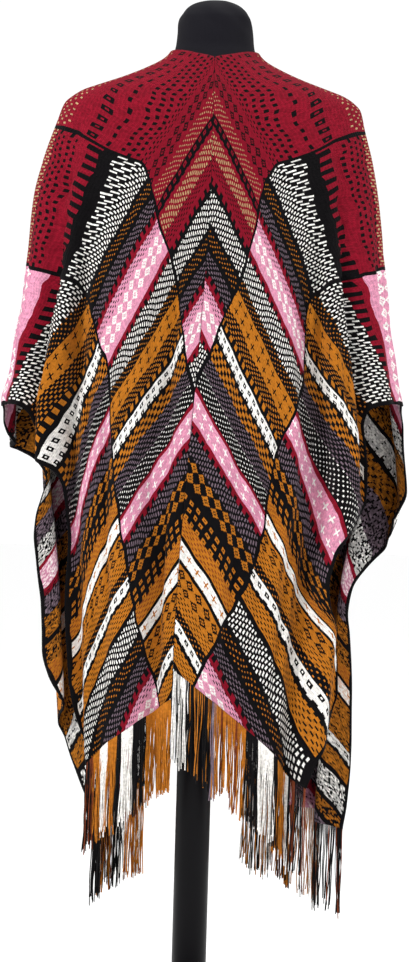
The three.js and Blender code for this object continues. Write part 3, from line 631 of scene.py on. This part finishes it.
# %% The knit's colour as nodes
def knit_colour(tree):
    uv = add(tree, "ShaderNodeUVMap", uv_map="cloth")
    loose = add(tree, "ShaderNodeTexNoise", Vector=uv, Scale=PULL_SCALE)
    pulled = add(tree, "ShaderNodeVectorMath", loose.node.outputs["Color"], (-0.5, -0.5, 0),
                 operation="ADD")
    pulled = add(tree, "ShaderNodeVectorMath", pulled, (YARN_PULL, YARN_PULL, 0), uv,
                 operation="MULTIPLY_ADD")
    across = add(tree, "ShaderNodeSeparateXYZ", pulled)
    along = add(tree, M, across.node.outputs[1], operation="ABSOLUTE")
    column = add(tree, M, add(tree, M, across, STITCH_WIDTH, operation="DIVIDE"), operation="FLOOR")
    knitted = add(tree, M, add(tree, M, along, STITCH_HEIGHT, operation="DIVIDE"), operation="FLOOR")
    strip = add(tree, M, add(tree, M, column, float(STRIP_COLUMNS), operation="DIVIDE"),
                operation="FLOOR")
    shifted = add(tree, M, strip, float(STRIP_SHIFT), knitted, operation="MULTIPLY_ADD")
    past = add(tree, M, shifted, TABLE_ROWS - 0.5, operation="GREATER_THAN")
    row = add(tree, M, past, float(YOKE_ROWS - TABLE_ROWS), shifted, operation="MULTIPLY_ADD")
    ground, figure, start, motif = linear(YARN["red"]), linear(YARN["black"]), 0.0, 4.0
    first = 0
    for rows, ground_yarn, figure_yarn, name in BANDS:
        inside = add(tree, M, row, first - 0.5, operation="GREATER_THAN")
        ground = add(tree, MIX, inside, ground, linear(YARN[ground_yarn]), data_type="RGBA")
        figure = add(tree, MIX, inside, figure, linear(YARN[figure_yarn]), data_type="RGBA")
        start = add(tree, MIX, inside, start, float(first), data_type="FLOAT")
        motif = add(tree, MIX, inside, motif, float(MOTIFS.index(name)), data_type="FLOAT")
        first += rows
    local = add(tree, M, row, start, operation="SUBTRACT")
    masks = motif_masks(tree, column, local)
    figured = 0.0
    for name, mask in masks.items():
        chosen = add(tree, M, motif, float(MOTIFS.index(name)), 0.1, operation="COMPARE")
        figured = add(tree, M, chosen, mask, figured, operation="MULTIPLY_ADD")
    beside = add(tree, M, column, float(STRIP_COLUMNS), operation="FLOORED_MODULO")
    divider = add(tree, M, add(tree, M, beside, 1.5, operation="LESS_THAN"),
                  add(tree, M, strip, 0.5, operation="GREATER_THAN"), operation="MULTIPLY")
    ground = add(tree, MIX, divider, ground, linear(YARN["black"]), data_type="RGBA")
    figure = add(tree, MIX, divider, figure, linear(YARN["black"]), data_type="RGBA")
    return across, along, column, row, ground, figure, figured


print("bands:", len(BANDS), "of", TABLE_ROWS, "rows in all")

# %% [markdown]
# ## Stitches and the wrong side
#
# On the right side of plain knitting every stitch shows as a small V, and columns of Vs make the
# fine ribs that one sees. Their relief is drawn as a bump and also as painted shade on the colour,
# darker in the gaps between stitches and lighter on their tops. The wrong side of a jacquard shows
# the floats, the yarns that wait behind, so its colours look speckled. Both sides get their own
# material.

# %% Right side, wrong side and bound edge
BOUND_EDGE = 0.003  # metres of black overlocked edge
WRONG_SIDE_MIX = 0.55  # share of the wrong side's colour that random floats take over
RELIEF_SHADE = (0.78, 1.06)  # painted shade in the gaps between stitches and a painted highlight on their tops
YARN_FLECK = (0.74, 1.1)  # the spun yarn's own unevenness, from stitch to stitch


def knit_material(name, wrong_side):
    # Spun yarn, knitted: loose fibre ends scatter the light, so nothing shines and folds stay soft.
    material, tree, shader = new_material(name, roughness=0.92, sheen=0.02, specular=0.08)
    across, along, column, row, ground, figure, figured = knit_colour(tree)
    stitch = add(tree, "ShaderNodeCombineXYZ", column, row)
    noise = add(tree, "ShaderNodeTexWhiteNoise", stitch, noise_dimensions="2D")
    if wrong_side:
        swap = add(tree, M, noise, 0.5, operation="GREATER_THAN")
        figured = add(tree, MIX, WRONG_SIDE_MIX, figured, swap, data_type="FLOAT")
    colour = add(tree, MIX, figured, ground, figure, data_type="RGBA")
    beside = add(tree, M, add(tree, M, add(tree, M, across, STITCH_WIDTH, operation="DIVIDE"),
                              operation="FRACT"), 0.5, operation="SUBTRACT")
    leg = add(tree, M, beside, operation="ABSOLUTE")
    up = add(tree, M, along, STITCH_HEIGHT, operation="DIVIDE")
    slanted = add(tree, M, leg, 1.0, up, operation="MULTIPLY_ADD")
    wave = add(tree, M, add(tree, M, slanted, 2 * math.pi, operation="MULTIPLY"), operation="SINE")
    relief = add(tree, "ShaderNodeMapRange", wave, -1.0, 1.0, 0.0, 1.0)
    fleck = add(tree, "ShaderNodeMapRange", noise, 0.0, 1.0, *YARN_FLECK)
    # Painted shade: the colour is darkened in the gaps between stitches and lightened on their tops,
    # after the same relief as the bump, and then scaled by the yarn's own fleck.
    painted_relief_shade = add(tree, "ShaderNodeMapRange", relief, 0.0, 1.0, *RELIEF_SHADE)
    shade = add(tree, M, painted_relief_shade, fleck, operation="MULTIPLY")
    colour_with_fleck_and_painted_shade = add(tree, "ShaderNodeVectorMath", colour, Scale=shade, operation="SCALE")
    edge = add(tree, "ShaderNodeAttribute", attribute_name="from_edge")
    bound = add(tree, M, edge.node.outputs["Fac"], BOUND_EDGE, operation="LESS_THAN")
    final = add(tree, MIX, bound, colour_with_fleck_and_painted_shade, linear(YARN["black"]), data_type="RGBA")
    tree.links.new(final, shader.inputs["Base Color"])
    bump = add(tree, "ShaderNodeBump", Strength=0.5, Distance=0.0012, Height=relief)
    tree.links.new(bump, shader.inputs["Normal"])
    return material


knit_right = knit_material("jacquard_knit_right_side", False)
knit_wrong = knit_material("jacquard_knit_wrong_side", True)
# The bound edge is overlocked in one black yarn, so it reads as a thin matt line.
knit_edge, _, edge_shader = new_material("black_selvedge", roughness=0.92, specular=0.08)
edge_shader.inputs["Base Color"].default_value = linear(YARN["black"])
print("nodes in the knit:", len(knit_right.node_tree.nodes))

# %% The cloth pieces
CLOTH_THICKNESS = 0.002  # metres, the knit with its floats
for half in ("left", "right"):
    piece = new_piece(f"cloth_{half}", meshes[half], "knit", knit_right, knit_wrong, knit_edge)
    thicken = piece.modifiers.new("thickness", "SOLIDIFY")
    thicken.thickness = CLOTH_THICKNESS
    thicken.offset = 0
    thicken.material_offset = 1
    thicken.material_offset_rim = 2
    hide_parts(f"panel_{half}")

# %% [markdown]
# ## The fringe
#
# The short ends are left as long loose yarns, crinkled where they came off the needles. They
# hang in clumps, and neighbouring clumps share their colours. Every yarn is a thin curve from
# inside the cloth's edge down to its own length, and one mesh holds a whole hem's yarns.

# %% Yarn materials
MOTTLE_SCALE = 260  # light and dark places about 4 mm long, where the yarn's twist loosens


def yarn_material(name, hex_colour):
    # Spun yarn, loose: as matt as the knit, with a faint edge of light where fibres stand off.
    material, tree, shader = new_material(name, roughness=0.9, sheen=0.03, specular=0.15)
    place = add(tree, "ShaderNodeTexCoord").node.outputs["Object"]
    mottled = add(tree, "ShaderNodeTexNoise", Vector=place, Scale=MOTTLE_SCALE)
    shade = add(tree, "ShaderNodeMapRange", mottled, 0.3, 0.7, 0.65, 1.12)
    colour = add(tree, "ShaderNodeVectorMath", linear(hex_colour)[:3], Scale=shade,
                 operation="SCALE")
    tree.links.new(colour, shader.inputs["Base Color"])
    return material


YARN_ENDS = ["ochre", "white", "black", "lilac", "rust"]
yarn_materials = [yarn_material(f"{name}_yarn", YARN[name]) for name in YARN_ENDS]
print("yarns:", [material.name for material in yarn_materials])

# %% The yarns of each hem
FRINGE_LENGTH = 0.122
YARN_RADIUS, YARN_TUCK = 0.0008, 0.003  # metres; the tuck hides each yarn's start in the cloth
YARN_STEPS, YARNS_PER_CLUMP = 12, 5
YARN_SPREAD, CLUMP_SPREAD = 0.035, 0.04  # shares by which lengths differ
YARN_DRIFT, CLUMP_DRIFT = (0.0018, 0.003), (0.0022, 0.004)  # metres that tips stray in x and y
CLUMP_GATHER = 0.3  # share of the way that a tip leans to its clump's middle
CRINKLE, CRINKLE_MORE = 0.0005, 0.0012  # metres, on every yarn and added on a few
YARNS_PER_HEM = {"back": 230, "front": 190}
GROUPS = {  # share of the hem where each group of colours ends, from the inner edge outwards
    "back_left": [(0.31, "ochre"), (0.42, "black"), (0.54, "white"), (0.59, "black"),
                  (0.68, "ochre"), (0.79, "white"), (0.88, "ochre"), (1, "black rust")],
    "back_right": [(0.12, "black black white"), (0.28, "black black black ochre"),
                   (0.31, "lilac"), (0.53, "ochre ochre rust"), (0.61, "black"), (0.735, "white"),
                   (0.78, "black"), (0.89, "ochre"), (0.92, "white"), (1, "rust black")],
    "front_left": [(0.3, "ochre rust ochre white"), (0.5, "black white black"),
                   (0.8, "ochre rust black white"), (1, "black")],
    "front_right": [(0.3, "black white ochre"), (0.6, "rust ochre black"),
                    (0.8, "ochre white"), (1, "black rust black")],
}
random = np.random.default_rng(11)


def fringe(face, half):
    hem = surfaces[half][0 if face == "back" else -1]
    curve = bpy.data.curves.new(f"yarns_{face}_{half}", "CURVE")
    curve.dimensions = "3D"
    curve.bevel_depth = YARN_RADIUS
    curve.bevel_resolution = 0
    curve.use_fill_caps = True
    for material in yarn_materials:
        curve.materials.append(material)
    count = YARNS_PER_HEM[face]
    shares = (np.arange(count) + 0.5) / count
    ticks = np.linspace(0, 1, len(hem))
    clump_of = np.floor(shares * count / YARNS_PER_CLUMP).astype(int)
    clumps = random.normal(0, 1, (clump_of.max() + 1, 3))
    for share, clump in zip(shares, clump_of):
        root = np.array([np.interp(share, ticks, hem[:, k]) for k in range(3)])
        centre = (clump + 0.5) * YARNS_PER_CLUMP / count
        middle = np.array([np.interp(centre, ticks, hem[:, k]) for k in range(3)])
        spread = YARN_SPREAD * random.normal() + CLUMP_SPREAD * clumps[clump, 2]
        length = FRINGE_LENGTH * (1 + spread)
        drift = [CLUMP_DRIFT[k] * clumps[clump, k] + YARN_DRIFT[k] * random.normal()
                 for k in (0, 1)]
        tip = CLUMP_GATHER * (middle - root) * [1, 1, 0] + [*drift, 0]
        phase = random.uniform(0, 2 * math.pi, 2)
        stray = CRINKLE + CRINKLE_MORE * random.random() ** 3
        spline = curve.splines.new("POLY")
        spline.points.add(YARN_STEPS)
        for k, point in enumerate(spline.points):
            t = k / YARN_STEPS
            wave = stray * min(1, 3 * t) * np.array([
                math.sin(8 * t + phase[0]), math.sin(11 * t + phase[1]), 0])
            place = root + tip * t**1.3 + wave + [0, 0, YARN_TUCK - (length + YARN_TUCK) * t]
            point.co = (*place, 1)
        group = next(names for end, names in GROUPS[f"{face}_{half}"]
                     if share + random.normal() * 0.006 <= end or end == 1).split()
        spline.material_index = YARN_ENDS.index(group[int(random.random() * len(group))])
    drawn = bpy.data.objects.new(curve.name, curve)
    bpy.context.scene.collection.objects.link(drawn)
    depsgraph = bpy.context.evaluated_depsgraph_get()
    mesh = bpy.data.meshes.new_from_object(drawn.evaluated_get(depsgraph))
    bpy.data.objects.remove(drawn)
    bpy.data.curves.remove(curve)
    piece = new_piece(f"yarns_{face}_{half}", mesh, "yarn")
    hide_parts(f"fringe_{face}_{half}")
    return piece


fringes = {(face, half): fringe(face, half) for face in ("back", "front")
           for half in ("left", "right")}
print("yarn meshes:", {p.name: len(p.data.polygons) for p in fringes.values()})

# %% [markdown]
# ## The dress form
#
# The padded form is covered in black stretch jersey, drawn tight over the bust and gathered to a
# low dome at the neck. Jersey has a very fine rib and a soft edge light. A tube of rings is
# stacked by the same table of levels and closed at both ends.

# %% Shapes of the form and the stand
FORM_SIDES, FORM_RINGS = 96, 150
RING_CROWDING = 1.7  # rings lie closer towards the dome, where the form curves most
CAP_FOOT, CAP_RISE = 1478, 40  # mm, where the gathered jersey of the cap starts to pucker
PUCKERS = [(0.03, 3), (0.02, 7)]  # share of the radius, how many go round


def lofted_form():
    bm = bmesh.new()
    bmesh.ops.create_grid(bm, x_segments=FORM_SIDES, y_segments=FORM_RINGS, size=0.5)
    low, high = FORM_LEVELS[0, 0], FORM_LEVELS[-1, 0]
    for vert in bm.verts:
        angle = 2 * math.pi * (vert.co.x + 0.5)
        t = vert.co.y + 0.5
        z = low + (high - low) * (1 - (1 - t) ** RING_CROWDING)
        c, s = math.cos(angle), math.sin(angle)
        power = 2 / ROUNDNESS
        depth = float(form_back(z) if s >= 0 else form_front(z))
        gather = float(smooth((z - CAP_FOOT) / CAP_RISE))
        (broad, few), (fine, many) = PUCKERS
        pucker = broad * math.sin(few * angle + 0.6) + fine * math.sin(many * angle + z / 7)
        lump = 1 + gather * pucker
        vert.co = (math.copysign(abs(c) ** power, c) * float(form_side(z)) * lump / 1000,
                   math.copysign(abs(s) ** power, s) * depth * lump / 1000, z / 1000)
    bmesh.ops.remove_doubles(bm, verts=bm.verts, dist=1e-5)
    bmesh.ops.holes_fill(bm, edges=[e for e in bm.edges if e.is_boundary])
    bmesh.ops.recalc_face_normals(bm, faces=bm.faces)
    mesh = bpy.data.meshes.new("jersey_form")
    bm.to_mesh(mesh)
    bm.free()
    return mesh


def turned(name, profile, segments):
    bm = bmesh.new()
    verts = [bm.verts.new((r, 0, z)) for r, z in profile]
    edges = [bm.edges.new(pair) for pair in zip(verts, verts[1:])]
    bmesh.ops.spin(bm, geom=verts + edges, cent=(0, 0, 0), axis=(0, 0, 1),
                   angle=2 * math.pi, steps=segments, use_merge=True)
    bmesh.ops.remove_doubles(bm, verts=bm.verts, dist=1e-6)
    bmesh.ops.recalc_face_normals(bm, faces=bm.faces)
    mesh = bpy.data.meshes.new(name)
    bm.to_mesh(mesh)
    bm.free()
    return mesh


jersey_form = lofted_form()
print("form:", len(jersey_form.polygons), "faces")

# %% Jersey and paint
# Elastane jersey, knitted and stretched: matt and very dark, with a soft light along its edges.
# Its real rib is about 0.6 mm wide, too fine to show in the render, so it is drawn 2 mm wide.
JERSEY_RIB_SCALE = 160
jersey, jersey_tree, jersey_shader = new_material(
    "black_stretch_jersey", roughness=0.85, sheen=0.04, specular=0.1)
jersey_shader.inputs["Base Color"].default_value = linear(0x121117)
place = add(jersey_tree, "ShaderNodeTexCoord").node.outputs["Object"]
rib = add(jersey_tree, "ShaderNodeTexWave", place, Scale=JERSEY_RIB_SCALE)
bump = add(jersey_tree, "ShaderNodeBump", Strength=0.15, Distance=0.0005, Height=rib)
jersey_tree.links.new(bump, jersey_shader.inputs["Normal"])

# Satin enamel, sprayed on steel: a dim, blurred highlight, broken a little by orange peel, whose
# bumps are about 2.5 mm apart as on the real thing.
ORANGE_PEEL_SCALE = 400
paint, paint_tree, paint_shader = new_material("satin_black_paint", roughness=0.4, specular=0.1)
paint_shader.inputs["Base Color"].default_value = linear(0x070609)
place = add(paint_tree, "ShaderNodeTexCoord").node.outputs["Object"]
orange_peel = add(paint_tree, "ShaderNodeTexNoise", Vector=place, Scale=ORANGE_PEEL_SCALE)
bump = add(paint_tree, "ShaderNodeBump", Strength=0.06, Distance=0.0005, Height=orange_peel)
paint_tree.links.new(bump, paint_shader.inputs["Normal"])
print("form and stand:", jersey.name, "and", paint.name)

# %% Form, pole and base
form = new_piece("jersey_form", jersey_form, "form_jersey", jersey)
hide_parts("dress_form")
pole = new_piece("steel_pole", turned("steel_pole", [
    (0, 0.0123), (0.024, 0.0123), (0.025, 0.0133), (0.025, 0.76), (0.024, 0.7617), (0, 0.7617),
], 96), "stand_paint", paint)
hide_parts("stand_pole")
base = new_piece("steel_base", turned("steel_base", [
    (0, 0), (0.186, 0), (0.189, 0.0012), (0.19, 0.004), (0.19, 0.008), (0.1888, 0.0108),
    (0.186, 0.012), (0.042, 0.012), (0.0392, 0.0132), (0.038, 0.016), (0.038, 0.042),
    (0.0368, 0.0448), (0.034, 0.046), (0.0253, 0.046), (0.0253, 0.012), (0, 0.012),
], 128), "stand_paint", paint)
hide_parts("stand_base")
print("stand:", pole.name, "in", base.name)

# %% [markdown]
# ## What the cloth pieces are
#
# Each panel was cut from flat knitted cloth. The flat area leaves out what the slanting inner
# edge and the sloping hems cut off the rectangle.

# %% The size of the sheets
print("each sheet is", PANEL_WIDTH, "m by", round(sum(INNER_LENGTH.values()), 2), "m before its cut")

# %% [markdown]
# ## Studio
#
# The photograph was taken in a white room, with even light and no horizon. A pale floor that runs
# to the horizon under a bright overhead sky does that, and it blocks no other view. The camera
# sees plain white above the floor. A lamp on the left makes the folds read, and two weaker ones
# keep their far sides open.

# %% Floor
FLOOR_SIZE = 60.0
floor_bm = bmesh.new()
bmesh.ops.create_grid(floor_bm, x_segments=4, y_segments=4, size=FLOOR_SIZE / 2)
floor_mesh = bpy.data.meshes.new("pale_floor")
floor_bm.to_mesh(floor_mesh)
floor_bm.free()
floor = bpy.data.objects.new("pale_floor", floor_mesh)
# White emulsion, rolled: fully matt, so it shows only the soft shadow under the base.
floor_material, _, floor_shader = new_material("white_floor_paint", roughness=0.9, specular=0.1)
floor_shader.inputs["Base Color"].default_value = linear(0xF6F6F6)
floor_mesh.materials.append(floor_material)
bpy.context.scene.collection.objects.link(floor)
print("floor:", floor.name)

# %% Lights
AIM = Vector((0, 0, 0.9))  # every lamp looks at the middle of the cloth
LIGHTS = [  # name, place, size in metres, watts
    ("key_from_the_left", (2.9, 2.5, 2.9), 0.8, 125),
    ("fill_by_the_camera", (-0.9, 4.4, 1.8), 2.0, 25),
    ("rim_from_the_right", (-3.0, 0.5, 1.9), 1.2, 45),
]
for name, place, size, watts in LIGHTS:
    light = bpy.data.lights.new(name, "AREA")
    light.energy = watts
    light.shape = "DISK"
    light.size = size
    lamp = bpy.data.objects.new(name, light)
    lamp.location = place
    lamp.rotation_euler = (AIM - Vector(place)).to_track_quat("-Z", "Y").to_euler()
    bpy.context.scene.collection.objects.link(lamp)
print("lamps:", [row[0] for row in LIGHTS])

# %% Sky
SKY_AT_HORIZON, SKY_OVERHEAD = 0.08, 4.1
SKY_POWER = 6.0  # a high one keeps the light overhead
WHITE_SEEN = 1.05  # what the camera sees, just past white
world = bpy.data.worlds.new("overhead_sky")
world.use_nodes = True
sky = world.node_tree
lit_by = sky.nodes["Background"]
lit_by.inputs["Color"].default_value = linear(0xFFFFFF)
direction = add(sky, "ShaderNodeTexCoord").node.outputs["Generated"]
height = add(sky, "ShaderNodeSeparateXYZ", direction).node.outputs["Z"]
overhead = add(sky, M, add(sky, M, height, 0.0, operation="MAXIMUM"), SKY_POWER, operation="POWER")
strength = add(sky, M, overhead, SKY_OVERHEAD, SKY_AT_HORIZON, operation="MULTIPLY_ADD")
sky.links.new(strength, lit_by.inputs["Strength"])
seen = add(sky, "ShaderNodeBackground", linear(0xFFFFFF), WHITE_SEEN)
to_camera = add(sky, "ShaderNodeLightPath").node.outputs["Is Camera Ray"]
blend = add(sky, "ShaderNodeMixShader", to_camera, lit_by.outputs["Background"], seen)
sky.links.new(blend, sky.nodes["World Output"].inputs["Surface"])
bpy.context.scene.world = world
print("sky:", len(sky.nodes), "nodes")
